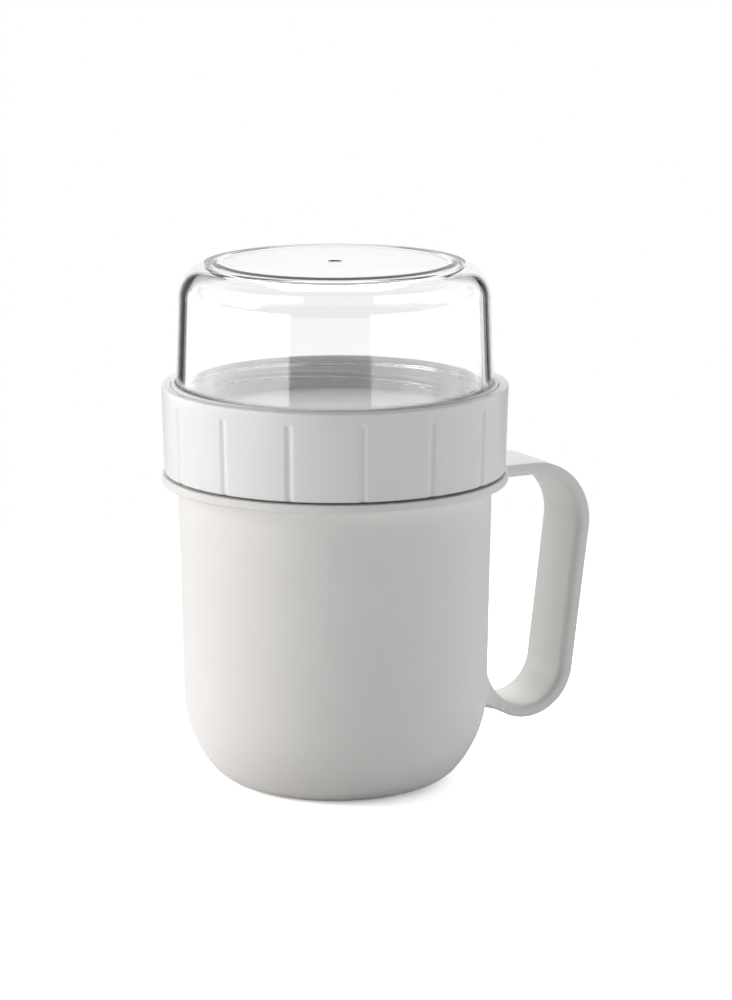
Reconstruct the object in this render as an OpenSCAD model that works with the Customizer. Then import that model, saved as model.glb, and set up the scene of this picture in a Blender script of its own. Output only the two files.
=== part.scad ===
// Two-compartment soup mug, in millimetres with +Z up.
// The mug stands on Z = 0 on its own axis, and its handle points along +X.
// A lid screws on the mug's neck, and a clear bowl screws upside down into the well in the lid.

/* [Mug] */
// radius of the flat foot
base_r = 27.8; // [24:0.2:30]
// radius of the tight arc at the foot
corner_low_r = 14; // [11:0.5:17]
// radius of the slow arc that runs into the wall
corner_high_r = 35.7; // [31:0.1:40]
// angle below level where the slow arc hands over to the tight arc
corner_turn = 40.5; // [36:0.5:45]
// outward lean of the wall in degrees
wall_lean = 0.88; // [0.4:0.02:1.4]
// thickness of wall and floor
wall_t = 2.2; // [1.6:0.1:2.8]
// height of the top of the flange
flange_top = 96.4; // [88:0.2:110]
// thickness of the flange
flange_t = 2.8; // [2:0.1:3.6]
// reach of the flange beyond the lid's foot
flange_over = 0.8; // [0.4:0.1:1.6]
// height of the threaded neck above the flange
neck_h = 13.6; // [10:0.2:18]
// rounding of the rim's outer edge
rim_round = 0.9; // [0.3:0.1:1.2]

/* [Handle] */
// width of the strap
strap_w = 22.4; // [16:0.2:26]
// thickness of the strap
strap_t = 3.6; // [3:0.1:4.6]
// rounding of the strap's outer edges
strap_round = 0.5; // [0.3:0.1:1]
// rounding of the strap's inner edges, where the fingers lie
grip_round = 1.2; // [0.4:0.1:1.6]
// drop of the strap's top face below the top of the flange
strap_drop = 1.4; // [0.6:0.1:2.6]
// length of the level part of the strap outside the wall
strap_level = 16.2; // [14:0.1:22]
// outer radius of the upper bend
bend_top_r = 19.9; // [14:0.1:22]
// outer radius of the lower bend
bend_low_r = 16.5; // [14:0.1:20]
// height of the lowest point of the strap
strap_low = 13.8; // [10:0.1:18]
// angle between the wall and the lower end that runs into it
root_lean = 62; // [54:1:70]
// length of the lower end that runs into the wall
root_len = 13; // [12.5:0.5:15]
// stand-off of the lower bend's inside from the wall
root_ease = 1.8; // [1:0.1:2.4]

/* [Lid] */
// room for the thread between the neck and the lid's skirt
thread_room = 2; // [1.6:0.1:2.6]
// thickness of the skirt at the lid's foot
skirt_t = 2.2; // [1.6:0.1:3]
// growth of the outer radius from foot to top
lid_flare = 0.8; // [0:0.1:1.6]
// gap between the flange and the lid's foot
lid_gap = 0.6; // [0.4:0.1:1]
// thickness of the lid's floor
floor_t = 2; // [1.6:0.1:2.6]
// depth of the well above the floor
well_depth = 9.9; // [8.5:0.1:14]
// width of the lip round the well
lip_w = 2.9; // [2.4:0.1:3.6]
// rounding of the lip's outer edge
lip_round = 1.3; // [0.6:0.1:1.8]
// rounding of the foot's outer edge
foot_round = 0.5; // [0.2:0.1:1]
// depth of the plug ring below the floor
plug_h = 4; // [2.5:0.1:6]
// thickness of the plug ring
plug_t = 1.6; // [1.2:0.1:2]
// gap between the plug ring and the mug's mouth
plug_gap = 0.6; // [0.4:0.1:1]

/* [Grip grooves] */
// number of grooves round the lid
groove_count = 15; // [9:2:21]
// width of a groove at the surface
groove_w = 3; // [2:0.1:4]
// depth of a groove
groove_depth = 0.5; // [0.3:0.05:0.7]
// smooth band above the grooves
groove_start = 4.8; // [4:0.1:8]
// extra lean in degrees that deepens a groove towards the foot
groove_lean = 0.15; // [0.1:0.05:0.3]

/* [Seals] */
// thickness of the lid seal
seal_t = 1.7; // [1.2:0.1:2.4]
// reach of the lid seal beyond the neck
seal_over = 0.6; // [0:0.1:1]
// gap between a seal and the faces that it serves
seal_gap = 0.15; // [0.1:0.05:0.25]
// thickness of the ring round the bowl
ring_t = 1.9; // [1.2:0.1:2.4]
// rise of the ring's top above the lip
ring_rise = 0.45; // [0:0.05:0.8]

/* [Bowl] */
// room for the thread between the bowl's skirt and the well
bowl_room = 1.9; // [1.6:0.1:2.4]
// thickness of the wall
bowl_t = 2.8; // [2:0.1:3.2]
// height from rim to crest
bowl_h = 47.2; // [40:0.2:56]
// inward lean of the wall in degrees
bowl_lean = 2.1; // [1:0.1:3]
// outer radius of the shoulder
shoulder_r = 11; // [8:0.2:13]
// step from the skirt out to the wall above the bead
wall_step = 0.3; // [0.1:0.05:0.4]
// height of the bead that carries the ring
bead_h = 1; // [0.7:0.1:1.4]
// reach of the bead beyond the skirt
bead_over = 1.1; // [0.8:0.1:1.2]
// width of the crest round the recess
crest_w = 1.9; // [1:0.1:2.6]
// depth of the recess in the top
recess_depth = 0.6; // [0.4:0.1:1.2]
// gap between the bowl's rim and the lid's floor
bowl_gap = 0.15; // [0.1:0.05:0.3]
// radius of the gate mark
gate_r = 1.9; // [1:0.1:2.5]
// height of the gate mark, no more than the recess is deep
gate_h = 0.4; // [0.2:0.1:0.4]

/* [Hidden] */
$fn = 120;
// overlap that lets joined solids share volume, and how far a cut runs past the solid that it leaves
lap = 0.4;
past = 1;
// depth of a straight's end inside the arc that it runs into, so that the two outlines cross
bite = 0.002;
// turn by which a slice of a disc runs on into its neighbour
pie_lap = 3;
// turn by which a bend of the strap runs into a straight, and how much fuller the straight is
bend_lap = 1;
straight_over = 0.02;
// size kept to whole micrometres
function micron(x) = round(x * 1000) / 1000;

// centres of the two arcs at the foot, as [radius, height]
low_c = [base_r, corner_low_r];
high_c = low_c + (corner_high_r - corner_low_r) * [-cos(corner_turn), sin(corner_turn)];
// where the slow arc meets the wall
wall_foot = high_c + corner_high_r * [cos(wall_lean), -sin(wall_lean)];
// outer radius of the wall at height z
function wall_r(z) = wall_foot.x + (z - wall_foot.y) * tan(wall_lean);
// inner radius of the wall at height z
function mouth_r(z) = wall_r(z) - wall_t / cos(wall_lean);

// heights of the seats, from the flange up
rim_z = flange_top + neck_h;
seal_z = rim_z + seal_gap;
floor_under = seal_z + seal_t + seal_gap;
floor_top = floor_under + floor_t;
lid_foot = flange_top + lid_gap;
lid_top = floor_top + well_depth;

// radii of the fitting faces, from the neck out
neck_r = micron(wall_r(flange_top));
skirt_in_r = neck_r + thread_room;
lid_foot_r = skirt_in_r + skirt_t;
lid_top_r = lid_foot_r + lid_flare;
flange_r = lid_foot_r + flange_over;
well_r = lid_top_r - lip_w;
plug_r = micron(mouth_r(rim_z - plug_h) - plug_gap);

// the strap's bends: centres as [reach, height], and the lean of the straight between them
strap_top = flange_top - strap_drop;
level_from = sqrt(pow(mouth_r(strap_top - strap_t), 2) - pow(strap_w / 2, 2)) - wall_t;
bend_top_c = [neck_r + strap_level, strap_top - bend_top_r];
bend_low_z = strap_low + bend_low_r;
bend_low_c = [wall_r(bend_low_z) + root_ease + bend_low_r - strap_t, bend_low_z];
bend_span = bend_low_c - bend_top_c;
strap_lean = atan2(-bend_span.y, bend_span.x) - acos((bend_top_r - bend_low_r) / norm(bend_span));
strap_out = [cos(strap_lean), -sin(strap_lean)];
strap_run = bend_span * [strap_out.y, -strap_out.x];

// groove radius from its width and depth
groove_r = (pow(groove_w / 2, 2) + pow(groove_depth, 2)) / (2 * groove_depth);
groove_top = lid_top - groove_start;

// the leaning outside of the lid: outward direction, and centres of the roundings at its foot and lip
lid_lean = atan(lid_flare / (lid_top - lid_foot));
lid_out = [cos(lid_lean), -sin(lid_lean)];
function lid_r(z) = lid_foot_r + (z - lid_foot) * tan(lid_lean);
function lid_round_c(z, r) = [micron(lid_r(z) - (r - bite) / cos(lid_lean)), z];
foot_c = lid_round_c(lid_foot + foot_round, foot_round);
lip_c = lid_round_c(lid_top - lip_round, lip_round);

// the bowl from its rim up
bowl_rim = floor_top + bowl_gap;
bowl_skirt_r = well_r - bowl_room;
ring_z = lid_top + ring_rise - ring_t;
bead_top = ring_z - seal_gap;
bowl_wall_r = bowl_skirt_r + wall_step;
bowl_top = bowl_rim + bowl_h;
// centre of the shoulder's arc, and where it meets the leaning wall
shoulder_z = bowl_top - shoulder_r;
shoulder_x = micron(bowl_wall_r - (shoulder_z - bead_top) * tan(bowl_lean) - shoulder_r / cos(bowl_lean));
shoulder_c = [shoulder_x, shoulder_z];
recess_r = shoulder_x - crest_w;
recess_z = bowl_top - recess_depth;
// where the wall runs into a shoulder's arc of radius r
function bowl_meet(r) = shoulder_c + (r - bite) * [cos(bowl_lean), sin(bowl_lean)];

mug_colour = [0.80, 0.78, 0.75];
lid_colour = [0.88, 0.90, 0.90];
seal_colour = [0.92, 0.92, 0.90];
bowl_colour = [0.93, 0.95, 0.95, 0.35];

// slice of a disc between two angles
module pie(r, from, to) {
    reach = 2 * r;
    middle = (from + to) / 2;
    intersection() {
        circle(r);
        polygon([
            [0, 0],
            reach * [cos(from), sin(from)],
            reach * [cos(middle), sin(middle)],
            reach * [cos(to), sin(to)]
        ]);
    }
}

// half profile of the cup, set in from the outer face by a thickness
module cup_half(inset, top) {
    high = corner_high_r - inset - bite;
    turn = high_c + (high - bite) * [cos(corner_turn), -sin(corner_turn)];
    meet = high_c + (high - bite) * [cos(wall_lean), -sin(wall_lean)];
    polygon([
        [0, inset],
        [base_r, inset],
        turn,
        meet,
        [meet.x + (top - meet.y) * tan(wall_lean), top],
        [0, top]
    ]);
    translate(low_c) pie(corner_low_r - inset, -90 - pie_lap, pie_lap - corner_turn);
    translate(high_c) pie(high, -corner_turn, pie_lap - wall_lean);
}

// half profile of the flange, with a full round outer edge
module flange_half() {
    edge = flange_t / 2;
    translate([0, flange_top - flange_t]) square([flange_r - edge, flange_t]);
    translate([flange_r - edge, flange_top - edge]) circle(edge);
}

// half profile of the neck, with its outer edge rounded
module neck_half() {
    translate([0, flange_top - lap]) square([neck_r, neck_h + lap - rim_round]);
    translate([0, flange_top]) square([neck_r - rim_round, neck_h]);
    translate([neck_r - rim_round, rim_z - rim_round]) circle(rim_round);
}

// cross-section of the strap: the first axis is its width, and its outer face is at zero on the second
// and it is fuller by a given amount on every side
module strap_section(over) {
    outer_w = strap_w - 2 * strap_round;
    inner_w = strap_w - 2 * grip_round;
    middle = strap_t / 2 + lap;
    translate([-strap_w / 2 - over, grip_round - strap_t])
        square([strap_w + 2 * over, strap_t - strap_round - grip_round]);
    translate([-outer_w / 2, -middle]) square([outer_w, middle + over]);
    translate([-inner_w / 2, -strap_t - over]) square([inner_w, middle + over]);
    for (side = [-1, 1]) {
        translate([side * outer_w / 2, -strap_round]) circle(strap_round + over);
        translate([side * inner_w / 2, grip_round - strap_t]) circle(grip_round + over);
    }
}

// straight piece of strap that starts at a point of the outer face and heads at an angle above +X
module strap_bar(start, heading, length) {
    translate([start.x, 0, start.y])
        rotate([0, -heading, 0])
            rotate([90, 0, 90])
                linear_extrude(length) strap_section(straight_over);
}

// bent piece of strap round a centre, between two angles above +X
module strap_bend(centre, radius, from, to) {
    translate([centre.x, 0, centre.y])
        rotate([90, 0, 0])
            rotate([0, 0, from - bend_lap])
                rotate_extrude(angle = to - from + 2 * bend_lap)
                    translate([radius, 0]) rotate(-90) strap_section(0);
}

// strap handle: level piece, upper bend, leaning straight, lower bend and the end that runs into the wall
module strap() {
    root = root_lean - 180;
    strap_bar([level_from, strap_top], 0, bend_top_c.x - level_from);
    strap_bend(bend_top_c, bend_top_r, -strap_lean, 90);
    strap_bar(bend_top_c + bend_top_r * strap_out, -90 - strap_lean, strap_run);
    strap_bend(bend_low_c, bend_low_r, root, -strap_lean);
    strap_bar(bend_low_c + bend_low_r * [cos(root), sin(root)], root - 90, root_len);
}

// the mug: cup, flange, neck and handle in one moulding
module mug_body() {
    color(mug_colour)
        difference() {
            union() {
                rotate_extrude() {
                    cup_half(0, flange_top);
                    flange_half();
                    neck_half();
                }
                strap();
            }
            rotate_extrude() cup_half(wall_t, rim_z + past);
        }
}

// half profile of the lid: skirt, floor, well, lip and plug ring
module lid_half() {
    difference() {
        union() {
            polygon([
                [0, lid_foot],
                [foot_c.x, lid_foot],
                foot_c + (foot_round - bite) * lid_out,
                lip_c + (lip_round - bite) * lid_out,
                [lip_c.x, lid_top],
                [0, lid_top]
            ]);
            translate(lip_c) circle(lip_round);
            translate(foot_c) circle(foot_round);
        }
        translate([0, floor_top]) square([well_r, well_depth + past]);
        translate([0, lid_foot - past]) square([skirt_in_r, floor_under - lid_foot + past]);
    }
    translate([plug_r - plug_t, floor_under - plug_h]) square([plug_t, plug_h + lap]);
}

// one grip groove on +X, from its round upper end down past the lid's foot
module grip_groove() {
    length = groove_top - lid_foot + past;
    translate([lid_r(groove_top) - groove_depth + groove_r, 0, groove_top])
        rotate([0, lid_lean + groove_lean, 0]) {
            sphere(groove_r);
            translate([0, 0, -length]) cylinder(length, r = groove_r);
        }
}

// the lid, with the handle midway between two grooves
module screw_lid() {
    step = 360 / groove_count;
    color(lid_colour)
        difference() {
            rotate_extrude() lid_half();
            for (i = [0 : groove_count - 1]) rotate((i + 0.5) * step) grip_groove();
        }
}

// flat ring between the mug's rim and the lid's floor, round the plug ring
module lid_seal() {
    inner = plug_r + seal_gap;
    color(seal_colour)
        rotate_extrude()
            translate([inner, seal_z]) square([neck_r + seal_over - inner, seal_t]);
}

// half profile of the bowl's outside, with the recess in its top
module bowl_outside_half() {
    edge = bead_h / 2;
    translate([0, bowl_rim]) square([bowl_skirt_r, bead_top - bowl_rim]);
    translate([0, bead_top - bead_h]) square([bowl_skirt_r + bead_over - edge, bead_h]);
    translate([bowl_skirt_r + bead_over - edge, bead_top - edge]) circle(edge);
    difference() {
        union() {
            polygon([
                [0, bead_top - lap],
                [bowl_wall_r, bead_top - lap],
                [bowl_wall_r, bead_top],
                bowl_meet(shoulder_r),
                [shoulder_x, bowl_top],
                [0, bowl_top]
            ]);
            translate(shoulder_c) pie(shoulder_r, bowl_lean - pie_lap, 90 + pie_lap);
        }
        translate([0, recess_z]) square([recess_r, recess_depth + past]);
    }
}

// half profile of the space inside the bowl
module bowl_inside_half() {
    inner = shoulder_r - bowl_t;
    skirt = bowl_skirt_r - bowl_t;
    polygon([
        [0, bowl_rim - past],
        [skirt, bowl_rim - past],
        [skirt, bead_top - bead_h],
        [bowl_wall_r - bowl_t / cos(bowl_lean), bead_top],
        bowl_meet(inner),
        [shoulder_x, shoulder_z + inner],
        [0, shoulder_z + inner]
    ]);
    translate(shoulder_c) pie(inner, bowl_lean - pie_lap, 90 + pie_lap);
}

// the clear bowl, upside down, with the gate mark in its recess
module clear_bowl() {
    color(bowl_colour) {
        rotate_extrude()
            difference() {
                bowl_outside_half();
                bowl_inside_half();
            }
        translate([0, 0, recess_z - lap]) cylinder(gate_h + lap, r = gate_r);
    }
}

// ring that sits on the bowl's bead and wipes the wall of the well
module bowl_seal() {
    inner = bowl_wall_r + seal_gap;
    color(seal_colour)
        rotate_extrude()
            translate([inner, ring_z]) square([well_r - seal_gap - inner, ring_t]);
}

mug_body();
screw_lid();
lid_seal();
clear_bowl();
bowl_seal();
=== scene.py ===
import math

import bmesh
import bpy
from bpy.props import FloatProperty, FloatVectorProperty, IntProperty, PointerProperty
from bpy.types import Operator, Panel, PropertyGroup
from mathutils import Matrix, Vector


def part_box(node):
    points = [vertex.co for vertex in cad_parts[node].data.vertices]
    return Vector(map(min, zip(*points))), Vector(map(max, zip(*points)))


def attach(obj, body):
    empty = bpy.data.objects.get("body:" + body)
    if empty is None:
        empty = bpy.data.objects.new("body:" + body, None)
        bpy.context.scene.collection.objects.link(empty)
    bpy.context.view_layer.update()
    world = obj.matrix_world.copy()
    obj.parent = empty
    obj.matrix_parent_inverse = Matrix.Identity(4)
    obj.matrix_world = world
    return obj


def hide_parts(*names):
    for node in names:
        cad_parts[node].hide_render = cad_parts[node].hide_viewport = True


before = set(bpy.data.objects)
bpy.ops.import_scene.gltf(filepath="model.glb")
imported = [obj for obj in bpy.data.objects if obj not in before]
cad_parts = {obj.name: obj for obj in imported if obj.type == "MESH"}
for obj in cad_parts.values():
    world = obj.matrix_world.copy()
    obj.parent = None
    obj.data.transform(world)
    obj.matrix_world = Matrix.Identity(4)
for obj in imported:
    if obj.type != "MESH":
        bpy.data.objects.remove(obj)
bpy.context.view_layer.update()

bl_info = {
    "name": "Soup mug with screw lid and clear bowl",
    "version": (1, 0, 0),
    "blender": (4, 5, 0),
    "location": "3D View > Sidebar > Soup mug",
    "description": "Builds a handled soup mug, its screw lid and the clear bowl that stands in the lid",
    "category": "Add Mesh",
}

MM = 0.001
MUG_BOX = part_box("mug_body")
LID_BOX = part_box("screw_lid")
LID_SEAL_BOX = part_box("lid_seal")
BOWL_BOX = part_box("clear_bowl")
RING_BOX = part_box("bowl_seal")


def size(name, text, default):
    """A length in metres, given in millimetres."""
    return FloatProperty(name=name, description=text, default=default * MM, min=0.0, unit="LENGTH", precision=5)


def angle(name, text, default):
    """An angle, given in degrees."""
    return FloatProperty(name=name, description=text, default=math.radians(default), subtype="ANGLE")


def share(name, text, default):
    """A share between nothing and all."""
    return FloatProperty(name=name, description=text, default=default, min=0.0, max=1.0, subtype="FACTOR")


def brightness(name, text, default):
    """A radiance of a light or of a surface that shines."""
    return FloatProperty(name=name, description=text, default=default, min=0.0)


def colour(name, text, default):
    """A colour of the finish."""
    return FloatVectorProperty(name=name, description=text, default=default, size=3, min=0.0, max=1.0, subtype="COLOR")


class MugSizes(PropertyGroup):
    """Sizes of the cup, flange and neck."""

    base_r: size("Foot", "Radius of the flat foot", 27.8)
    low_r: size("Tight arc", "Radius of the arc at the foot", 14.0)
    high_r: size("Slow arc", "Radius of the arc that runs into the wall", 35.7)
    turn: angle("Hand-over", "Angle below level where the slow arc hands over to the tight arc", 40.5)
    lean: angle("Wall lean", "Outward lean of the wall", 0.88)
    wall: size("Wall", "Thickness of wall and floor", 2.2)
    flange_top: size("Flange top", "Height of the flange's top face", 96.4)
    flange_t: size("Flange", "Thickness of the flange", 2.8)
    flange_low: size("Flange below", "Rounding of the flange's lower edge", 0.8)
    flange_high: size("Flange above", "Rounding of the flange's upper edge", 0.35)
    flange_r: size("Flange radius", "Outer radius of the flange", 53.053)
    flange_nook: size("Flange nooks", "Rounding of the nooks below and above the flange", 0.4)
    rim_round: size("Rim", "Rounding of the rim's outer edge", 0.9)
    mouth_round: size("Mouth", "Rounding of the rim's inner edge", 0.6)
    fillet: size("Fillet", "Radius of the fillet where the strap runs into the wall", 2.6)


class StrapSizes(PropertyGroup):
    """Sizes of the strap handle."""

    width: size("Width", "Width of the strap", 23.2)
    thick: size("Thickness", "Thickness of the strap", 4.0)
    edge: size("Outer edge", "Rounding of the outer edges", 0.5)
    grip: size("Inner edge", "Rounding of the inner edges, where the fingers lie", 2.1)
    drop: size("Drop", "Drop of the top face below the flange's top", 1.4)
    level: size("Level part", "Length of the level part outside the wall", 16.16)
    top_r: size("Upper bend", "Outer radius of the upper bend", 19.9)
    low_r: size("Lower bend", "Outer radius of the lower bend", 16.5)
    lowest: size("Lowest point", "Height of the lowest point", 13.4)
    root_lean: angle("Root lean", "Angle between the wall and the lower end that runs into it", 62.0)
    root_len: size("Root", "Length of the lower end that runs into the wall", 13.0)
    root_ease: size("Root ease", "Stand-off of the lower bend's inside from the wall", 2.4)
    blend: size("Root blend", "Reach of the blend from the wall along the lower end", 8.0)
    blend_w: size("Blend width", "Reach of the blend beside the lower end", 10.0)
    blend_h: size("Blend height", "Reach of the blend above the lower end", 14.0)
    ogee: size("Root ogee", "Height over which the blend ends below the lower end", 1.2)
    crown: size("Crown", "Rise of the inner face towards its middle", 0.5)


class LidSizes(PropertyGroup):
    """Sizes of the screw lid and its grip grooves."""

    foot_r: size("Foot", "Outer radius at the foot", 52.253)
    top_r: size("Top", "Outer radius at the top", 53.02)
    skirt_r: size("Skirt", "Inner radius of the skirt", 50.053)
    well_r: size("Well", "Radius of the well", 50.153)
    floor_low: size("Floor underside", "Height of the floor's underside", 112.0)
    floor_top: size("Floor top", "Height of the floor's top face", 114.0)
    plug_r: size("Plug ring", "Outer radius of the plug ring", 45.4)
    plug_t: size("Plug thickness", "Thickness of the plug ring", 1.6)
    plug_h: size("Plug depth", "Depth of the plug ring below the floor", 4.0)
    lip_round: size("Lip", "Rounding of the lip's outer edge", 0.6)
    grooves: IntProperty(name="Grooves", description="Number of grip grooves", default=15, min=3)
    groove_w: size("Groove width", "Width of a groove", 3.2)
    groove_d: size("Groove depth", "Depth of a groove", 0.5)
    groove_start: size("Smooth band", "Smooth band above the grooves", 4.8)


class BowlSizes(PropertyGroup):
    """Sizes of the clear bowl, which stands upside down in the lid."""

    skirt_r: size("Skirt", "Outer radius of the skirt in the well", 48.253)
    wall_r: size("Wall radius", "Outer radius of the wall above the bead", 48.553)
    bead_r: size("Bead", "Outer radius of the bead that carries the ring", 49.353)
    bead_top: size("Bead top", "Height of the bead's top", 122.3)
    bead_h: size("Bead height", "Height of the bead", 1.0)
    wall: size("Wall", "Thickness of the wall", 2.8)
    lean: angle("Wall lean", "Inward lean of the wall", 2.1)
    shoulder_r: size("Shoulder", "Outer radius of the shoulder", 11.0)
    crest_r: size("Crest", "Radius of the low crest that the bowl stands on", 35.2)
    crest_in: size("Crest inside", "Width of the crest's slope into the recess", 1.3)
    crest_out: size("Crest outside", "Width of the crest's slope to the ledge", 2.45)
    ledge: size("Ledge", "Drop of the ledge outside the crest", 0.465)
    recess: size("Recess", "Depth of the recess in the top", 0.15)
    gate_r: size("Gate mark", "Radius of the gate mark", 2.0)
    gate_d: size("Gate depth", "Depth of the gate mark", 0.3)


class ThreadSizes(PropertyGroup):
    """Sizes of the screw threads on neck, lid and bowl."""

    lead: size("Lead", "Rise of the thread in one turn", 9.0)
    starts: IntProperty(name="Starts", description="Number of ridges side by side", default=3, min=1)
    sweep: angle("Sweep", "Angle that one ridge covers", 106.0)
    width: size("Width", "Width of a ridge at its foot", 1.3)
    height: size("Height", "Height of a ridge", 1.1)
    bowl_share: share("Bowl ridges", "Height of the ridges on the bowl, as a share of those on the neck", 0.4)
    well_share: share("Well ridges", "Height of the ridges in the well, as a share of those on the neck", 0.35)
    neck_z: size("Neck ridge", "Height where a ridge on the neck begins", 102.6)
    bowl_z: size("Bowl ridge", "Height where a ridge on the bowl begins", 115.82)
    neck_from: angle("Neck start", "Angle where the first ridge on the neck begins", 40.0)
    bowl_from: angle("Bowl start", "Angle where the first ridge on the bowl begins", 14.5)


class FinishLooks(PropertyGroup):
    """Colours and gloss of the plastics."""

    mug: colour("Mug", "Warm light grey of the mug", (0.772, 0.766, 0.75))
    mug_rough: share("Mug roughness", "Roughness of the mug's satin surface", 0.45)
    lid: colour("Lid", "Cool white of the lid", (0.818, 0.838, 0.84))
    lid_rough: share("Lid roughness", "Roughness of the lid's surface", 0.3)
    seal: colour("Seals", "Pale soft rubber", (0.88, 0.89, 0.885))
    seal_rough: share("Seal roughness", "Roughness of the rubber", 0.6)
    bowl: colour("Bowl", "Tint of the clear plastic", (0.985, 0.99, 0.99))
    bowl_ior: FloatProperty(name="Bowl index", description="Index of refraction of the bowl", default=1.57, min=1.0)


class StageLooks(PropertyGroup):
    """Camera and studio light."""

    azimuth: angle("Azimuth", "Direction of the camera round the mug", -27.5)
    pitch: angle("Pitch", "Angle at which the camera looks down", 11.76)
    distance: size("Distance", "Distance from the camera to its target", 1200.0)
    height: size("Target height", "Height of the target", 87.16)
    aside: size("Target aside", "Shift of the target to the camera's right", 9.47)
    lens: FloatProperty(
        name="Lens", description="Focal length on a 36 mm sensor", default=140.67, min=1.0, unit="CAMERA"
    )
    left: brightness("Left panels", "Radiance of the panels that stand on the left", 3.1)
    key: brightness("Key panel", "Radiance of the high panel on the left", 4.9)
    right: brightness("Right panels", "Radiance of the panels that stand on the right", 1.95)
    sheen: share("Sheen", "Radiance of the panels seen only in gloss, as a share of those beside them", 0.6)
    back: brightness("Back panel", "Radiance of the high panel behind", 4.4)
    warm: colour("Left tone", "Tone of the light from the left", (1.0, 0.972, 0.96))
    paper: brightness("Floor", "Radiance of the floor away from the mug", 0.46)
    glow: brightness("Backdrop", "Radiance of the white behind the clear bowl", 1.0)
    inside: brightness("Inside", "Radiance of the room as it lights the well through the bowl", 0.4)
    room: brightness("Room", "Radiance of the room between the panels", 0.02)


GROUPS = {
    "soup_mug": MugSizes,
    "soup_strap": StrapSizes,
    "soup_lid": LidSizes,
    "soup_bowl": BowlSizes,
    "soup_thread": ThreadSizes,
    "soup_finish": FinishLooks,
    "soup_stage": StageLooks,
}


class Outline:
    """Half section of a turned piece, drawn in the XZ plane from point to point."""

    def __init__(self, r, z):
        self.mesh = bmesh.new()
        self.tip = self.mesh.verts.new((r, 0.0, z))
        self.first = self.tip
        self.corners = []

    def to(self, r, z, soft=0.0):
        """Runs straight to a point, whose corner is rounded to the radius soft at the end."""
        run = bmesh.ops.extrude_vert_indiv(self.mesh, verts=[self.tip])
        self.tip = run["verts"][0]
        self.tip.co = (r, 0.0, z)
        if soft:
            self.corners.append((self.tip, soft))
        return self

    def arc(self, r, z, turn, rows):
        """Runs round a centre. A positive turn goes anticlockwise with +X to the right and +Z up."""
        swing = bmesh.ops.spin(
            self.mesh, geom=[self.tip], cent=(r, 0.0, z), axis=(0.0, -1.0, 0.0), angle=turn, steps=rows,
            use_duplicate=False,
        )
        self.tip = swing["geom_last"][0]
        return self

    def wave(self, r, z, rows):
        """Runs to a point in a soft S that is level at both ends."""
        start = self.tip.co.copy()
        for row in range(1, rows + 1):
            part = row / rows
            self.to(start.x + (r - start.x) * part, start.z + (z - start.z) * (0.5 - 0.5 * math.cos(math.pi * part)))
        return self

    def done(self, closed=False):
        """Closes a section that doesn't end on the axis, rounds its corners and returns its mesh."""
        if closed:
            self.mesh.edges.new((self.tip, self.first))
        for vert, radius in self.corners:
            ahead, behind = [edge.other_vert(vert).co - vert.co for edge in vert.link_edges]
            bmesh.ops.bevel(
                self.mesh, geom=[vert], offset=radius / math.tan(ahead.angle(behind) / 2), offset_type="OFFSET",
                segments=5, profile=0.5, affect="VERTICES", material=-1,
            )
        hold(self.mesh, 0.15 * MM)
        return self.mesh


def hold(bm, reach):
    """Adds a row near both ends of each long run, which keeps it straight where it is shaded smooth."""
    for edge in bm.edges[:]:
        length = edge.calc_length()
        if length > 8 * reach:
            first, last = edge.verts
            near = bmesh.utils.edge_split(edge, first, reach / length)[1]
            rest = next(run for run in near.link_edges if run.other_vert(near) == last)
            bmesh.utils.edge_split(rest, last, reach / (length - reach))


def finer(bm, r, z, gap):
    """Adds rows to the runs of a section that lie in a window of radius and height."""
    slack = 1e-6
    for edge in bm.edges[:]:
        if all(r[0] - slack <= v.co.x <= r[1] + slack and z[0] - slack <= v.co.z <= z[1] + slack for v in edge.verts):
            cuts = math.ceil(edge.calc_length() / gap - slack) - 1
            if cuts > 0:
                bmesh.ops.subdivide_edges(bm, edges=[edge], cuts=cuts)


def spin_on(bm, ring, turn, steps):
    """Turns a section on about Z and returns its last ring."""
    swing = bmesh.ops.spin(
        bm, geom=ring, cent=(0.0, 0.0, 0.0), axis=(0.0, 0.0, 1.0), angle=turn, steps=steps, use_duplicate=False
    )
    return swing["geom_last"]


def turned(bm, steps):
    """Turns a section into a whole round piece."""
    bmesh.ops.spin(
        bm, geom=bm.verts[:] + bm.edges[:], cent=(0.0, 0.0, 0.0), axis=(0.0, 0.0, 1.0), angle=math.tau, steps=steps,
        use_merge=True, use_duplicate=False,
    )
    weld(bm)


def weld(bm):
    """Closes seams and poles and points the faces outwards."""
    bmesh.ops.remove_doubles(bm, verts=bm.verts[:], dist=1e-6)
    bmesh.ops.recalc_face_normals(bm, faces=bm.faces[:])


def ease(x):
    """Smooth step from nought to one."""
    x = min(max(x, 0.0), 1.0)
    return x * x * (3.0 - 2.0 * x)


def quarter(x):
    """Quarter round: falls from one to nought as x rises from nought to one."""
    short = min(max(1.0 - x, 0.0), 1.0)
    return 1.0 - math.sqrt(1.0 - short * short)


def wind(bm, wall_r, height, start, z, thread):
    """Raises the ridges of a thread on a turned wall. A negative height raises them inwards."""
    pitch = math.tau / thread.starts
    taper = math.radians(4.0)
    flank, slack = 0.6, 2e-6
    for v in bm.verts:
        r = math.hypot(v.co.x, v.co.y)
        if abs(r - wall_r) > slack:
            continue
        along = (math.atan2(v.co.y, v.co.x) - start) % pitch
        middle = z + thread.lead * along / math.tau
        across = abs(v.co.z - middle) / (thread.width / 2)
        if along < thread.sweep and across < 1.0:
            rise = ease((1.0 - across) / flank) * ease(min(along, thread.sweep - along) / taper)
            v.co.xy *= (r + height * rise) / r


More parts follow.
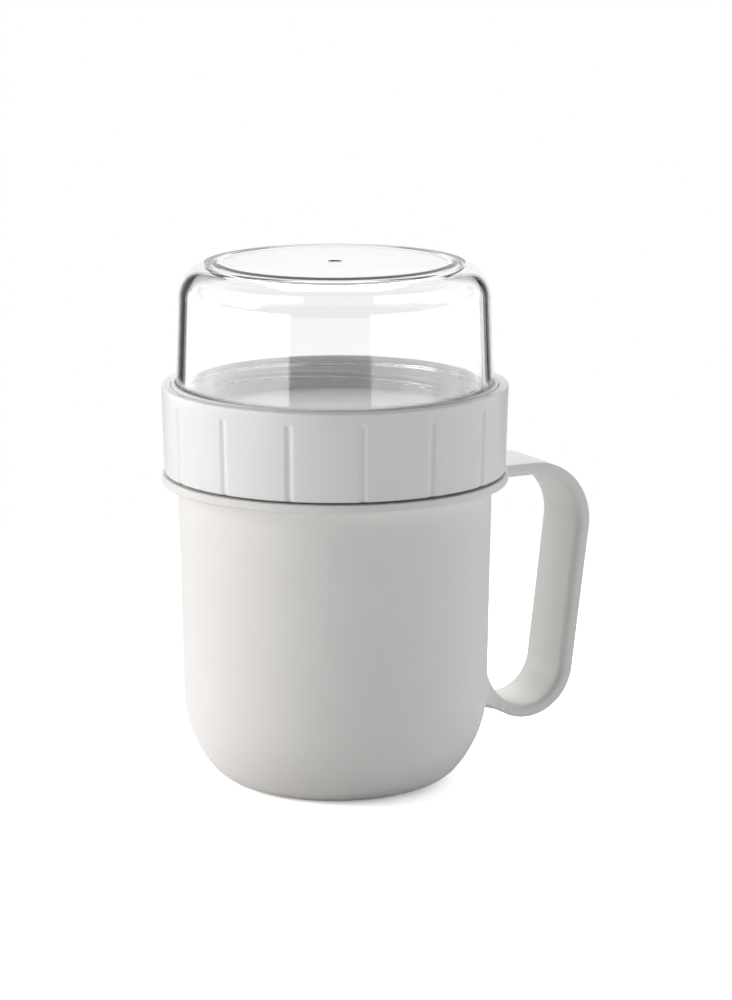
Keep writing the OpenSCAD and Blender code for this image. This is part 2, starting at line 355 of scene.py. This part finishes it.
def piece(name, bm, material, body, node, sharp=32.0):
    """Makes the object of a finished mesh and sets it in the frame in place of its CAD node."""
    for face in bm.faces:
        face.smooth = True
    for edge in bm.edges:
        edge.smooth = len(edge.link_faces) == 2 and edge.calc_face_angle() < math.radians(sharp)
    mesh = bpy.data.meshes.new(name)
    bm.to_mesh(mesh)
    bm.free()
    mesh.materials.append(material)
    obj = bpy.data.objects.new(name, mesh)
    bpy.context.scene.collection.objects.link(obj)
    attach(obj, body)
    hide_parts(node)


def grain_group():
    """Node group for moulded plastic: slow mottle, roughness that drifts, and a fine grain."""
    name = "moulded_grain"
    if name in bpy.data.node_groups:
        return bpy.data.node_groups[name]
    tree = bpy.data.node_groups.new(name, "ShaderNodeTree")
    for label, value in (("Mottle Scale", 60.0), ("Grain Scale", 3000.0), ("Roughness", 0.4), ("Drift", 0.08)):
        tree.interface.new_socket(label, in_out="INPUT", socket_type="NodeSocketFloat").default_value = value
    for label in ("Mottle", "Roughness", "Height"):
        tree.interface.new_socket(label, in_out="OUTPUT", socket_type="NodeSocketFloat")
    nodes, links = tree.nodes, tree.links
    inward = nodes.new("NodeGroupInput")
    outward = nodes.new("NodeGroupOutput")
    place = nodes.new("ShaderNodeTexCoord")
    mottle = nodes.new("ShaderNodeTexNoise")
    mottle.inputs["Detail"].default_value = 3.0
    grain = nodes.new("ShaderNodeTexNoise")
    grain.inputs["Detail"].default_value = 2.0
    centred = nodes.new("ShaderNodeMath")
    centred.operation = "SUBTRACT"
    centred.inputs[1].default_value = 0.5
    drift = nodes.new("ShaderNodeMath")
    drift.operation = "MULTIPLY_ADD"
    for noise, label in ((mottle, "Mottle Scale"), (grain, "Grain Scale")):
        links.new(place.outputs["Object"], noise.inputs["Vector"])
        links.new(inward.outputs[label], noise.inputs["Scale"])
    links.new(mottle.outputs["Fac"], centred.inputs[0])
    links.new(centred.outputs["Value"], drift.inputs[0])
    links.new(inward.outputs["Drift"], drift.inputs[1])
    links.new(inward.outputs["Roughness"], drift.inputs[2])
    links.new(mottle.outputs["Fac"], outward.inputs["Mottle"])
    links.new(drift.outputs["Value"], outward.inputs["Roughness"])
    links.new(grain.outputs["Fac"], outward.inputs["Height"])
    return tree


def plastic(name, tone, rough, grain_scale, bump, spread=0.03, drift=0.08, ior=1.49):
    """Moulded opaque plastic: two close tones, drifting gloss and a fine grain."""
    material = bpy.data.materials.new(name)
    material.use_nodes = True
    nodes, links = material.node_tree.nodes, material.node_tree.links
    shader = nodes["Principled BSDF"]
    shader.inputs["IOR"].default_value = ior
    grain = nodes.new("ShaderNodeGroup")
    grain.node_tree = grain_group()
    grain.inputs["Grain Scale"].default_value = grain_scale
    grain.inputs["Roughness"].default_value = rough
    grain.inputs["Drift"].default_value = drift
    tones = nodes.new("ShaderNodeMix")
    tones.data_type = "RGBA"
    dark, light = [socket for socket in tones.inputs if socket.type == "RGBA"]
    dark.default_value = [c * (1.0 - spread) for c in tone] + [1.0]
    light.default_value = [min(c * (1.0 + spread), 1.0) for c in tone] + [1.0]
    relief = nodes.new("ShaderNodeBump")
    relief.inputs["Strength"].default_value = bump
    relief.inputs["Distance"].default_value = 0.02 * MM
    links.new(grain.outputs["Mottle"], tones.inputs["Factor"])
    links.new(next(s for s in tones.outputs if s.type == "RGBA"), shader.inputs["Base Color"])
    links.new(grain.outputs["Roughness"], shader.inputs["Roughness"])
    links.new(grain.outputs["Height"], relief.inputs["Height"])
    links.new(relief.outputs["Normal"], shader.inputs["Normal"])
    return material


def clear_plastic(name, tint, ior):
    """Polished clear plastic."""
    material = bpy.data.materials.new(name)
    material.use_nodes = True
    shader = material.node_tree.nodes["Principled BSDF"]
    shader.inputs["Base Color"].default_value = (*tint, 1.0)
    shader.inputs["Roughness"].default_value = 0.0
    shader.inputs["IOR"].default_value = ior
    shader.inputs["Transmission Weight"].default_value = 1.0
    return material


class CupShape:
    """Heights and radii of the cup that its wall, neck and strap share."""

    def __init__(self, mug):
        self.mug = mug
        self.low = Vector((mug.base_r, mug.low_r))
        self.high = self.low + (mug.high_r - mug.low_r) * Vector((-math.cos(mug.turn), math.sin(mug.turn)))
        self.foot = self.high + mug.high_r * Vector((math.cos(mug.lean), -math.sin(mug.lean)))
        self.neck_r = self.wall_r(mug.flange_top)

    def wall_r(self, z):
        """Outer radius of the cup at a height above its flat foot."""
        mug = self.mug
        if z >= self.foot.y:
            return self.foot.x + (z - self.foot.y) * math.tan(mug.lean)
        if z >= self.low.y - mug.low_r * math.sin(mug.turn):
            return self.high.x + math.sqrt(mug.high_r ** 2 - (z - self.high.y) ** 2)
        return self.low.x + math.sqrt(max(mug.low_r ** 2 - (z - self.low.y) ** 2, 0.0))


class StrapPath:
    """Centres, lean and run of the strap's bends, and its distance from the cup's wall."""

    def __init__(self, strap, cup):
        self.strap = strap
        self.top_z = cup.mug.flange_top - strap.drop
        self.top_c = Vector((cup.neck_r + strap.level, self.top_z - strap.top_r))
        low_z = strap.lowest + strap.low_r
        self.low_c = Vector((cup.wall_r(low_z) + strap.root_ease + strap.low_r - strap.thick, low_z))
        span = self.low_c - self.top_c
        self.lean = math.atan2(-span.y, span.x) - math.acos((strap.top_r - strap.low_r) / span.length)
        self.heading = Vector((-math.sin(self.lean), -math.cos(self.lean)))
        self.run = span.dot(self.heading)
        self.inward = Vector((math.cos(strap.root_lean), math.sin(strap.root_lean)))
        self.root = self.low_c - strap.low_r * self.inward
        self.root_heading = Vector((-self.inward.y, self.inward.x))

    def root_z(self, x):
        """Heights of the lower end's outer and inner face at a reach from the axis."""
        rise = self.root.y + (self.root.x - x) / math.tan(self.strap.root_lean)
        return rise, rise + self.strap.thick / math.sin(self.strap.root_lean)

    def swell(self, point, fillet):
        """Way that a point of the cup's wall moves for the fillets at the strap's ends."""
        strap = self.strap
        aside = max(abs(point.y) - strap.width / 2, 0.0)
        out = Vector((point.x, point.y, 0.0)).normalized()
        if point.z > (self.top_c.y + self.low_c.y) / 2:
            gap = math.hypot(aside, max(self.top_z - strap.thick - point.z, 0.0)) / fillet
            return fillet * quarter(gap) * out
        low, high = self.root_z(point.x)
        gap = math.hypot(aside / strap.blend_w, max(point.z - high, 0.0) / strap.blend_h)
        fade = ease((point.z - low) / strap.ogee + 0.5)
        return fade * strap.blend * quarter(gap) * (out - Vector((0.0, 0.0, 1.0 / math.tan(strap.root_lean))))


def cup_mesh(mug, thread, cup, path):
    """Cup, flange and neck, with fillets that swell towards the strap's ends."""
    z_top = MUG_BOX[1][2]
    z_flange = mug.flange_top - mug.flange_t
    slow = math.pi / 2 - mug.turn
    bend = mug.turn - mug.lean
    inner_foot = cup.high + (mug.high_r - mug.wall) * Vector((math.cos(mug.lean), -math.sin(mug.lean)))
    mouth = cup.wall_r(z_top) - mug.wall / math.cos(mug.lean)
    z_plain_low, z_plain_top, gap = 40 * MM, 85 * MM, 0.5 * MM
    outline = Outline(0.0, 0.0).to(mug.base_r, 0.0)
    outline.arc(cup.low.x, cup.low.y, slow, 18).arc(cup.high.x, cup.high.y, bend, 48)
    outline.to(cup.wall_r(z_plain_low), z_plain_low).to(cup.wall_r(z_plain_top), z_plain_top)
    outline.to(cup.wall_r(z_flange), z_flange, soft=mug.flange_nook)
    outline.to(mug.flange_r, z_flange, soft=mug.flange_low).to(mug.flange_r, mug.flange_top, soft=mug.flange_high)
    outline.to(cup.neck_r, mug.flange_top, soft=mug.flange_nook)
    outline.to(cup.neck_r, z_top, soft=mug.rim_round).to(mouth, z_top, soft=mug.mouth_round)
    outline.to(inner_foot.x, inner_foot.y)
    outline.arc(cup.high.x, cup.high.y, -bend, 14).arc(cup.low.x, cup.low.y, -slow, 12).to(0.0, mug.wall)
    bm = outline.done()
    outside = (cup.low.x, mug.flange_r)
    finer(bm, outside, (cup.foot.y, z_plain_low), gap)
    finer(bm, outside, (z_plain_top, z_flange), gap)
    finer(bm, (cup.neck_r, cup.neck_r), (mug.flange_top, z_top), gap / 2)
    near, near_steps, far_steps = math.radians(60), 120, 150
    bmesh.ops.rotate(bm, verts=bm.verts[:], cent=(0, 0, 0), matrix=Matrix.Rotation(-near / 2, 3, "Z"))
    ring = spin_on(bm, bm.verts[:] + bm.edges[:], near, near_steps)
    spin_on(bm, ring, math.tau - near, far_steps)
    weld(bm)
    wind(bm, cup.neck_r, thread.height, thread.neck_from, thread.neck_z, thread)
    skin = 0.2 * MM
    for v in bm.verts:
        r = math.hypot(v.co.x, v.co.y)
        if v.co.x > 0 and mug.low_r / 2 < v.co.z < z_flange and r > cup.wall_r(v.co.z) - skin:
            v.co += path.swell(v.co, mug.fillet)
    return bm


def strap_mesh(strap, cup, path):
    """Strap handle: one rounded section drawn along straights and bends, its ends inside the wall."""
    half = strap.width / 2
    top, low = path.top_z, path.top_z - strap.thick
    start, inside_wall = 46.1 * MM, 0.5 * cup.mug.wall
    bm = bmesh.new()
    outer = [(-half, top), (half, top)]
    crown = [(half * part, low - strap.crown * (1.0 - part * part)) for part in (0.7, 0.35, 0.0, -0.35, -0.7)]
    points = outer + [(half, low)] + crown + [(-half, low)]
    verts = [bm.verts.new((start, y, z)) for y, z in points]
    for a, b in zip(verts, verts[1:] + verts[:1]):
        bm.edges.new((a, b))
    for corner, radius in zip(verts[:3] + verts[-1:], (strap.edge, strap.edge, strap.grip, strap.grip)):
        bmesh.ops.bevel(
            bm, geom=[corner], offset=radius, offset_type="OFFSET", segments=7, profile=0.5, affect="VERTICES",
            material=-1,
        )
    loop = bm.edges[:]
    bmesh.ops.edgeloop_fill(bm, edges=loop)

    def straight(loop, vec):
        step = bmesh.ops.extrude_edge_only(bm, edges=loop)["geom"]
        verts = [g for g in step if isinstance(g, bmesh.types.BMVert)]
        bmesh.ops.translate(bm, verts=verts, vec=(vec.x, 0.0, vec.y))
        return [g for g in step if isinstance(g, bmesh.types.BMEdge)]

    def bend(loop, centre, turn, steps):
        verts = list({v for edge in loop for v in edge.verts})
        swing = bmesh.ops.spin(
            bm, geom=verts + loop, cent=(centre.x, 0.0, centre.y), axis=(0.0, 1.0, 0.0), angle=turn, steps=steps,
            use_duplicate=False,
        )
        return [g for g in swing["geom_last"] if isinstance(g, bmesh.types.BMEdge)]

    loop = straight(loop, Vector((path.top_c.x - start, 0.0)))
    loop = bend(loop, path.top_c, math.pi / 2 + path.lean, steps=40)
    loop = straight(loop, path.run * path.heading)
    loop = bend(loop, path.low_c, math.pi - strap.root_lean - path.lean, steps=50)
    before = set(bm.verts)
    rows = 40
    for _ in range(rows):
        loop = straight(loop, strap.root_len / rows * path.root_heading)
    bmesh.ops.edgeloop_fill(bm, edges=loop)
    for v in bm.verts:
        if v not in before:
            off = math.hypot(v.co.x, v.co.y) - cup.wall_r(v.co.z)
            depth = (Vector((v.co.x, v.co.z)) - path.root).dot(path.inward) / strap.thick
            near = max(strap.blend - max(off, 0.0), 0.0)
            below = near ** 2 / (2 * strap.blend) / math.tan(strap.root_lean)
            v.co.z -= below * (1.0 - depth)
        core = cup.wall_r(v.co.z) - inside_wall
        if math.hypot(v.co.x, v.co.y) < core:
            v.co.x = math.sqrt(core ** 2 - v.co.y ** 2)
    bmesh.ops.recalc_face_normals(bm, faces=bm.faces[:])
    return bm


class SOUPMUG_OT_mug(Operator):
    """Build the mug with its flange, threaded neck and strap handle"""

    bl_idname = "soupmug.mug"
    bl_label = "Mug"

    def execute(self, context):
        scene = context.scene
        mug, strap, looks = scene.soup_mug, scene.soup_strap, scene.soup_finish
        cup = CupShape(mug)
        path = StrapPath(strap, cup)
        bm = cup_mesh(mug, scene.soup_thread, cup, path)
        handle = strap_mesh(strap, cup, path)
        carried = bpy.data.meshes.new("strap")
        handle.to_mesh(carried)
        handle.free()
        bm.from_mesh(carried)
        bpy.data.meshes.remove(carried)
        satin = plastic("mug_satin", looks.mug, looks.mug_rough, grain_scale=2600.0, bump=0.12)
        piece("mug", bm, satin, "mug", "mug_body")
        return {"FINISHED"}


class SOUPMUG_OT_lid(Operator):
    """Build the screw lid with its grip grooves, well and plug ring"""

    bl_idname = "soupmug.lid"
    bl_label = "Screw lid"

    def execute(self, context):
        scene = context.scene
        lid, thread, looks = scene.soup_lid, scene.soup_thread, scene.soup_finish
        low, top = LID_BOX[0][2], LID_BOX[1][2]
        groove_top = top - lid.groove_start
        plug_in = lid.plug_r - lid.plug_t
        plug_z = lid.floor_low - lid.plug_h
        row, fine = 1.5 * MM, 0.25 * MM
        edge, nook, skirt_edge, lip_in, well_foot = 0.5 * MM, 0.3 * MM, 0.4 * MM, 0.25 * MM, 0.8 * MM

        def outer_r(z):
            return lid.foot_r + (lid.top_r - lid.foot_r) * (z - low) / (top - low)

        end_low, end_top = groove_top - row, groove_top + 2 * row
        outline = Outline(0.0, lid.floor_low).to(plug_in, lid.floor_low, soft=edge)
        outline.to(plug_in, plug_z, soft=edge).to(lid.plug_r, plug_z, soft=edge)
        outline.to(lid.plug_r, lid.floor_low, soft=nook).to(lid.skirt_r, lid.floor_low, soft=edge)
        outline.to(lid.skirt_r, low, soft=skirt_edge).to(lid.foot_r, low, soft=edge)
        outline.to(outer_r(end_low), end_low).to(outer_r(end_top), end_top)
        outline.to(lid.top_r, top, soft=lid.lip_round).to(lid.well_r, top, soft=lip_in)
        outline.to(lid.well_r, lid.floor_top, soft=well_foot).to(0.0, lid.floor_top)
        bm = outline.done()
        finer(bm, (lid.skirt_r, lid.skirt_r), (low, lid.floor_low), fine)
        finer(bm, (lid.well_r, lid.well_r), (lid.floor_top, top), fine)
        finer(bm, (lid.foot_r - row, lid.top_r), (end_low, end_top), fine)
        finer(bm, (lid.foot_r - row, lid.top_r), (low, end_low), row)

        sector = math.tau / lid.grooves
        zone, zone_r = 2.2, 53.0
        near, near_steps, far_steps = zone / zone_r, 8, 7
        bmesh.ops.rotate(bm, verts=bm.verts[:], cent=(0, 0, 0), matrix=Matrix.Rotation(sector / 2, 3, "Z"))
        section = bm.verts[:] + bm.edges[:]
        for side in (1, -1):
            ring = spin_on(bm, section, side * near, near_steps)
            spin_on(bm, ring, side * (sector / 2 - near), far_steps)
        for v in bm.verts:
            r = math.hypot(v.co.x, v.co.y)
            if r > (lid.well_r + lid.foot_r) / 2 and v.co.z < end_top:
                aside = r * (math.atan2(v.co.y, v.co.x) - sector / 2)
                reach = math.hypot(aside, max(v.co.z - groove_top, 0.0)) / (lid.groove_w / 2)
                if reach < 1.0:
                    v.co.xy *= (r - lid.groove_d * (0.5 + 0.5 * math.cos(math.pi * reach))) / r
        bmesh.ops.spin(
            bm, geom=bm.verts[:] + bm.edges[:] + bm.faces[:], cent=(0, 0, 0), axis=(0, 0, 1),
            angle=math.tau - sector, steps=lid.grooves - 1, use_duplicate=True,
        )
        weld(bm)
        offset = thread.lead / thread.starts / 2
        wind(bm, lid.skirt_r, -thread.height, thread.neck_from, thread.neck_z - offset, thread)
        wind(bm, lid.well_r, -thread.well_share * thread.height, thread.bowl_from, thread.bowl_z + offset, thread)
        gloss = plastic(
            "lid_gloss", looks.lid, looks.lid_rough, grain_scale=1800.0, bump=0.05, spread=0.015, drift=0.05
        )
        piece("screw_lid_dressed", bm, gloss, "lid", "screw_lid")
        return {"FINISHED"}


class SOUPMUG_OT_bowl(Operator):
    """Build the clear bowl, upside down in the well of the lid"""

    bl_idname = "soupmug.bowl"
    bl_label = "Clear bowl"

    def execute(self, context):
        scene = context.scene
        bowl, thread, looks = scene.soup_bowl, scene.soup_thread, scene.soup_finish
        rim, top = BOWL_BOX[0][2], BOWL_BOX[1][2]
        lean = bowl.lean
        centre_z = top - bowl.shoulder_r
        centre_x = bowl.wall_r - (centre_z - bowl.bead_top) * math.tan(lean) - bowl.shoulder_r / math.cos(lean)
        inner_r = bowl.shoulder_r - bowl.wall
        recess_z = top - bowl.recess
        ledge_z = top - bowl.ledge
        brow = math.acos((ledge_z - centre_z) / bowl.shoulder_r)
        edge = bowl.bead_h / 2
        swing = math.pi / 2 - lean
        skirt_in = bowl.skirt_r - bowl.wall
        gate_z = recess_z - bowl.gate_d
        gate_edge, bead_nook, skirt_nook, rim_round, fine = 0.1 * MM, 0.3 * MM, 0.2 * MM, 0.8 * MM, 0.2 * MM
        outline = Outline(0.0, gate_z).to(bowl.gate_r, gate_z, soft=gate_edge)
        outline.to(bowl.gate_r, recess_z, soft=gate_edge).to(bowl.crest_r - bowl.crest_in, recess_z)
        outline.wave(bowl.crest_r, top, rows=14).wave(bowl.crest_r + bowl.crest_out, ledge_z, rows=14)
        outline.to(centre_x + bowl.shoulder_r * math.sin(brow), ledge_z)
        outline.arc(centre_x, centre_z, brow - swing, 28)
        outline.to(bowl.wall_r, bowl.bead_top, soft=bead_nook).to(bowl.bead_r - edge, bowl.bead_top)
        outline.arc(bowl.bead_r - edge, bowl.bead_top - edge, -math.pi, 10)
        outline.to(bowl.skirt_r, bowl.bead_top - bowl.bead_h, soft=skirt_nook)
        outline.to(bowl.skirt_r, rim, soft=rim_round).to(skirt_in, rim, soft=rim_round)
        outline.to(skirt_in, bowl.bead_top - bowl.bead_h)
        outline.to(bowl.wall_r - bowl.wall / math.cos(lean), bowl.bead_top)
        outline.to(centre_x + inner_r * math.cos(lean), centre_z + inner_r * math.sin(lean))
        outline.arc(centre_x, centre_z, swing, 24).to(0.0, centre_z + inner_r)
        bm = outline.done()
        finer(bm, (bowl.skirt_r, bowl.skirt_r), (rim, bowl.bead_top), fine)
        turned(bm, steps=240)
        wind(bm, bowl.skirt_r, thread.bowl_share * thread.height, thread.bowl_from, thread.bowl_z, thread)
        clear = clear_plastic("clear_plastic", looks.bowl, looks.bowl_ior)
        piece("clear_bowl_dressed", bm, clear, "bowl", "clear_bowl", sharp=40.0)
        return {"FINISHED"}


class SOUPMUG_OT_seals(Operator):
    """Build the flat seal under the lid and the ring round the bowl"""

    bl_idname = "soupmug.seals"
    bl_label = "Seals"

    def execute(self, context):
        looks = context.scene.soup_finish
        lid, bowl = context.scene.soup_lid, context.scene.soup_bowl
        rubber = plastic("seal_rubber", looks.seal, looks.seal_rough, grain_scale=2200.0, bump=0.1, spread=0.02)
        gap, soft = 0.15 * MM, 0.3 * MM
        rings = (
            ("lid_seal_dressed", LID_SEAL_BOX, lid.plug_r + gap, "lid_seal"),
            ("bowl_seal_dressed", RING_BOX, bowl.wall_r + gap, "bowl_seal"),
        )
        for name, box, inner, node in rings:
            low, top, outer = box[0][2], box[1][2], box[1][0]
            outline = Outline(inner, low).to(outer, low, soft=soft).to(outer, top, soft=soft)
            outline.to(inner, top, soft=soft)
            outline.corners.append((outline.first, soft))
            bm = outline.done(closed=True)
            turned(bm, steps=192)
            piece(name, bm, rubber, node, node)
        return {"FINISHED"}


def look_from(azimuth, pitch):
    """Direction from the mug to a viewer."""
    return Vector((math.sin(azimuth) * math.cos(pitch), -math.cos(azimuth) * math.cos(pitch), math.sin(pitch)))


def light_panel(name, stage, aside, up, distance, width, height, radiance, tone=(1.0, 1.0, 1.0), lights=True):
    """Soft light panel that faces the mug, placed by its angle from the camera's side."""
    aim = Vector((0.0, 0.0, 0.09))
    data = bpy.data.lights.new(name, "AREA")
    data.shape = "RECTANGLE"
    data.size, data.size_y = width, height
    data.energy = radiance * math.pi * width * height
    data.color = tone
    obj = bpy.data.objects.new(name, data)
    bpy.context.scene.collection.objects.link(obj)
    away = look_from(stage.azimuth + math.radians(aside), math.radians(up))
    obj.location = away * distance + aim
    obj.rotation_euler = away.to_track_quat("Z", "Y").to_euler()
    obj.visible_camera = False
    obj.visible_diffuse = lights


def black_card(name, stage, near, far, depth, height):
    """Black card that stands behind the mug, out of the picture, and draws a dark edge in the clear bowl."""
    right = Vector((math.cos(stage.azimuth), math.sin(stage.azimuth), 0.0))
    foot = [side * right - depth * look_from(stage.azimuth, 0.0) for side in (near, far)]
    bm = bmesh.new()
    foot = [bm.verts.new(point) for point in foot]
    rise = bmesh.ops.extrude_edge_only(bm, edges=[bm.edges.new(foot)])["geom"]
    bmesh.ops.translate(bm, verts=[g for g in rise if isinstance(g, bmesh.types.BMVert)], vec=(0.0, 0.0, height))
    mesh = bpy.data.meshes.new(name)
    bm.to_mesh(mesh)
    bm.free()
    black = bpy.data.materials.new(name)
    black.use_nodes = True
    black.node_tree.nodes["Principled BSDF"].inputs["Base Color"].default_value = (0.05, 0.05, 0.05, 1.0)
    mesh.materials.append(black)
    card = bpy.data.objects.new(name, mesh)
    bpy.context.scene.collection.objects.link(card)
    card.visible_camera = card.visible_diffuse = card.visible_shadow = False


def blend_values(tree, factor, first, second):
    """Node that blends two values or sockets by a factor. Returns its result."""
    node = tree.nodes.new("ShaderNodeMix")
    node.data_type = "FLOAT"
    for socket, value in zip((node.inputs[0], node.inputs[2], node.inputs[3]), (factor, first, second)):
        if isinstance(value, bpy.types.NodeSocket):
            tree.links.new(value, socket)
        else:
            socket.default_value = value
    return node.outputs[0]


def ramp(tree, value, low, high):
    """Node that rises smoothly from nought to one between two values. Returns its result."""
    node = tree.nodes.new("ShaderNodeMapRange")
    node.interpolation_type = "SMOOTHSTEP"
    node.inputs["From Min"].default_value = low
    node.inputs["From Max"].default_value = high
    tree.links.new(value, node.inputs["Value"])
    return node.outputs["Result"]


def along(tree, place, direction):
    """Node that measures a place or a direction along another. Returns its result."""
    node = tree.nodes.new("ShaderNodeVectorMath")
    node.operation = "DOT_PRODUCT"
    tree.links.new(place, node.inputs[0])
    node.inputs[1].default_value = direction
    return node.outputs["Value"]


def studio_world(scene, stage, back):
    """White beyond the floor, and a dim room on the camera's side of the mug."""
    world = bpy.data.worlds.new("studio")
    scene.world = world
    world.use_nodes = True
    tree = world.node_tree
    rays = tree.nodes.new("ShaderNodeLightPath")
    place = tree.nodes.new("ShaderNodeTexCoord")
    behind = ramp(tree, along(tree, place.outputs["Generated"], back), low=0.0, high=0.4)
    white = blend_values(tree, rays.outputs["Is Transmission Ray"], 1.0, stage.glow)
    dim = blend_values(tree, rays.outputs["Is Transmission Ray"], stage.room, stage.inside)
    light = blend_values(tree, behind, dim, white)
    light = blend_values(tree, rays.outputs["Is Camera Ray"], light, 1.0)
    tree.links.new(light, tree.nodes["Background"].inputs["Strength"])
    tree.nodes["Background"].inputs["Color"].default_value = (1.0, 1.0, 1.0, 1.0)


def paper_floor(scene, stage):
    """Round sheet of white paper: lit as it lies near the mug, evenly bright further out."""
    bm = bmesh.new()
    bmesh.ops.create_circle(bm, cap_ends=True, cap_tris=False, segments=96, radius=8.0)
    mesh = bpy.data.meshes.new("floor")
    bm.to_mesh(mesh)
    bm.free()
    paper = bpy.data.materials.new("floor_paper")
    paper.use_nodes = True
    tree = paper.node_tree
    nodes, links = tree.nodes, tree.links
    nodes.remove(nodes["Principled BSDF"])
    rays = nodes.new("ShaderNodeLightPath")
    matt = nodes.new("ShaderNodeBsdfDiffuse")
    albedo, lifted = 0.8, 3.0
    links.new(blend_values(tree, rays.outputs["Is Camera Ray"], albedo, lifted), matt.inputs["Color"])
    bright = nodes.new("ShaderNodeEmission")
    seen = blend_values(tree, rays.outputs["Is Singular Ray"], stage.paper, stage.glow)
    links.new(blend_values(tree, rays.outputs["Is Camera Ray"], seen, 1.0), bright.inputs["Strength"])
    place = nodes.new("ShaderNodeTexCoord")
    reach = nodes.new("ShaderNodeVectorMath")
    reach.operation = "LENGTH"
    links.new(place.outputs["Object"], reach.inputs[0])
    blend = nodes.new("ShaderNodeMixShader")
    links.new(ramp(tree, reach.outputs["Value"], low=0.1, high=0.4), blend.inputs["Fac"])
    links.new(matt.outputs["BSDF"], blend.inputs[1])
    links.new(bright.outputs["Emission"], blend.inputs[2])
    links.new(blend.outputs["Shader"], nodes["Material Output"].inputs["Surface"])
    mesh.materials.append(paper)
    floor = bpy.data.objects.new("floor", mesh)
    scene.collection.objects.link(floor)


class SOUPMUG_OT_stage(Operator):
    """Set the camera, the soft light and the pale floor"""

    bl_idname = "soupmug.stage"
    bl_label = "Stage"

    def execute(self, context):
        scene = context.scene
        stage = scene.soup_stage
        scene.view_settings.view_transform = "Standard"
        scene.view_settings.look = "None"

        away = look_from(stage.azimuth, stage.pitch)
        right = Vector((math.cos(stage.azimuth), math.sin(stage.azimuth), 0.0))
        target = right * stage.aside + Vector((0.0, 0.0, stage.height))
        data = bpy.data.cameras.new("photo_camera")
        data.lens = stage.lens
        data.sensor_width = 36.0
        data.clip_start, data.clip_end = 0.05, 50.0
        camera = bpy.data.objects.new("photo_camera", data)
        scene.collection.objects.link(camera)
        camera.location = target + away * stage.distance
        camera.rotation_euler = away.to_track_quat("Z", "Y").to_euler()
        scene.camera = camera

        stand = {"up": 2.7, "distance": 0.7, "height": 0.245}
        wide, narrow = {"width": 0.475, **stand}, {"width": 0.35, "lights": False, **stand}
        high = {"up": 30.3, "distance": 1.16, "width": 0.54, "height": 0.56}
        over = {"up": 62.0, "distance": 1.2, "width": 0.7, "height": 0.7}
        light_panel("left_panel_front", stage, -50.75, radiance=stage.left, tone=stage.warm, **wide)
        light_panel("left_panel_side", stage, -88.25, radiance=stage.left, tone=stage.warm, **wide)
        light_panel("key_panel", stage, -75.0, radiance=stage.key, tone=stage.warm, **high)
        light_panel("right_panel_front", stage, 44.75, radiance=stage.right, **wide)
        light_panel("right_panel_side", stage, 82.25, radiance=stage.right, **wide)
        light_panel("left_sheen", stage, -121.0, radiance=stage.sheen * stage.left, **narrow)
        light_panel("right_sheen", stage, 115.0, radiance=stage.sheen * stage.right, **narrow)
        light_panel("back_panel", stage, 180.0, radiance=stage.back, **over)

        for name, near, far in (("left_card", -0.40, -0.19), ("right_card", 0.21, 0.36)):
            black_card(name, stage, near, far, depth=0.45, height=0.5)
        studio_world(scene, stage, -look_from(stage.azimuth, 0.0))
        paper_floor(scene, stage)
        return {"FINISHED"}


OPERATORS = (SOUPMUG_OT_stage, SOUPMUG_OT_mug, SOUPMUG_OT_lid, SOUPMUG_OT_seals, SOUPMUG_OT_bowl)


class SOUPMUG_PT_sidebar(Panel):
    """Lists the steps and sizes of the soup mug"""

    bl_idname = "SOUPMUG_PT_sidebar"
    bl_label = "Soup mug"
    bl_space_type = "VIEW_3D"
    bl_region_type = "UI"
    bl_category = "Soup mug"

    def draw(self, context):
        column = self.layout.column(align=True)
        for step in OPERATORS:
            column.operator(step.bl_idname)
        for name, group in GROUPS.items():
            box = self.layout.box()
            box.label(text=group.__doc__)
            for prop in group.__annotations__:
                box.prop(getattr(context.scene, name), prop)


CLASSES = (*GROUPS.values(), *OPERATORS, SOUPMUG_PT_sidebar)


def register():
    for cls in CLASSES:
        bpy.utils.register_class(cls)
    for name, group in GROUPS.items():
        setattr(bpy.types.Scene, name, PointerProperty(type=group))


def unregister():
    for name in GROUPS:
        delattr(bpy.types.Scene, name)
    for cls in reversed(CLASSES):
        bpy.utils.unregister_class(cls)


def main():
    register()
    bpy.ops.soupmug.stage()
    bpy.ops.soupmug.mug()
    bpy.ops.soupmug.lid()
    bpy.ops.soupmug.seals()
    bpy.ops.soupmug.bowl()


if __name__ == "__main__":
    main()
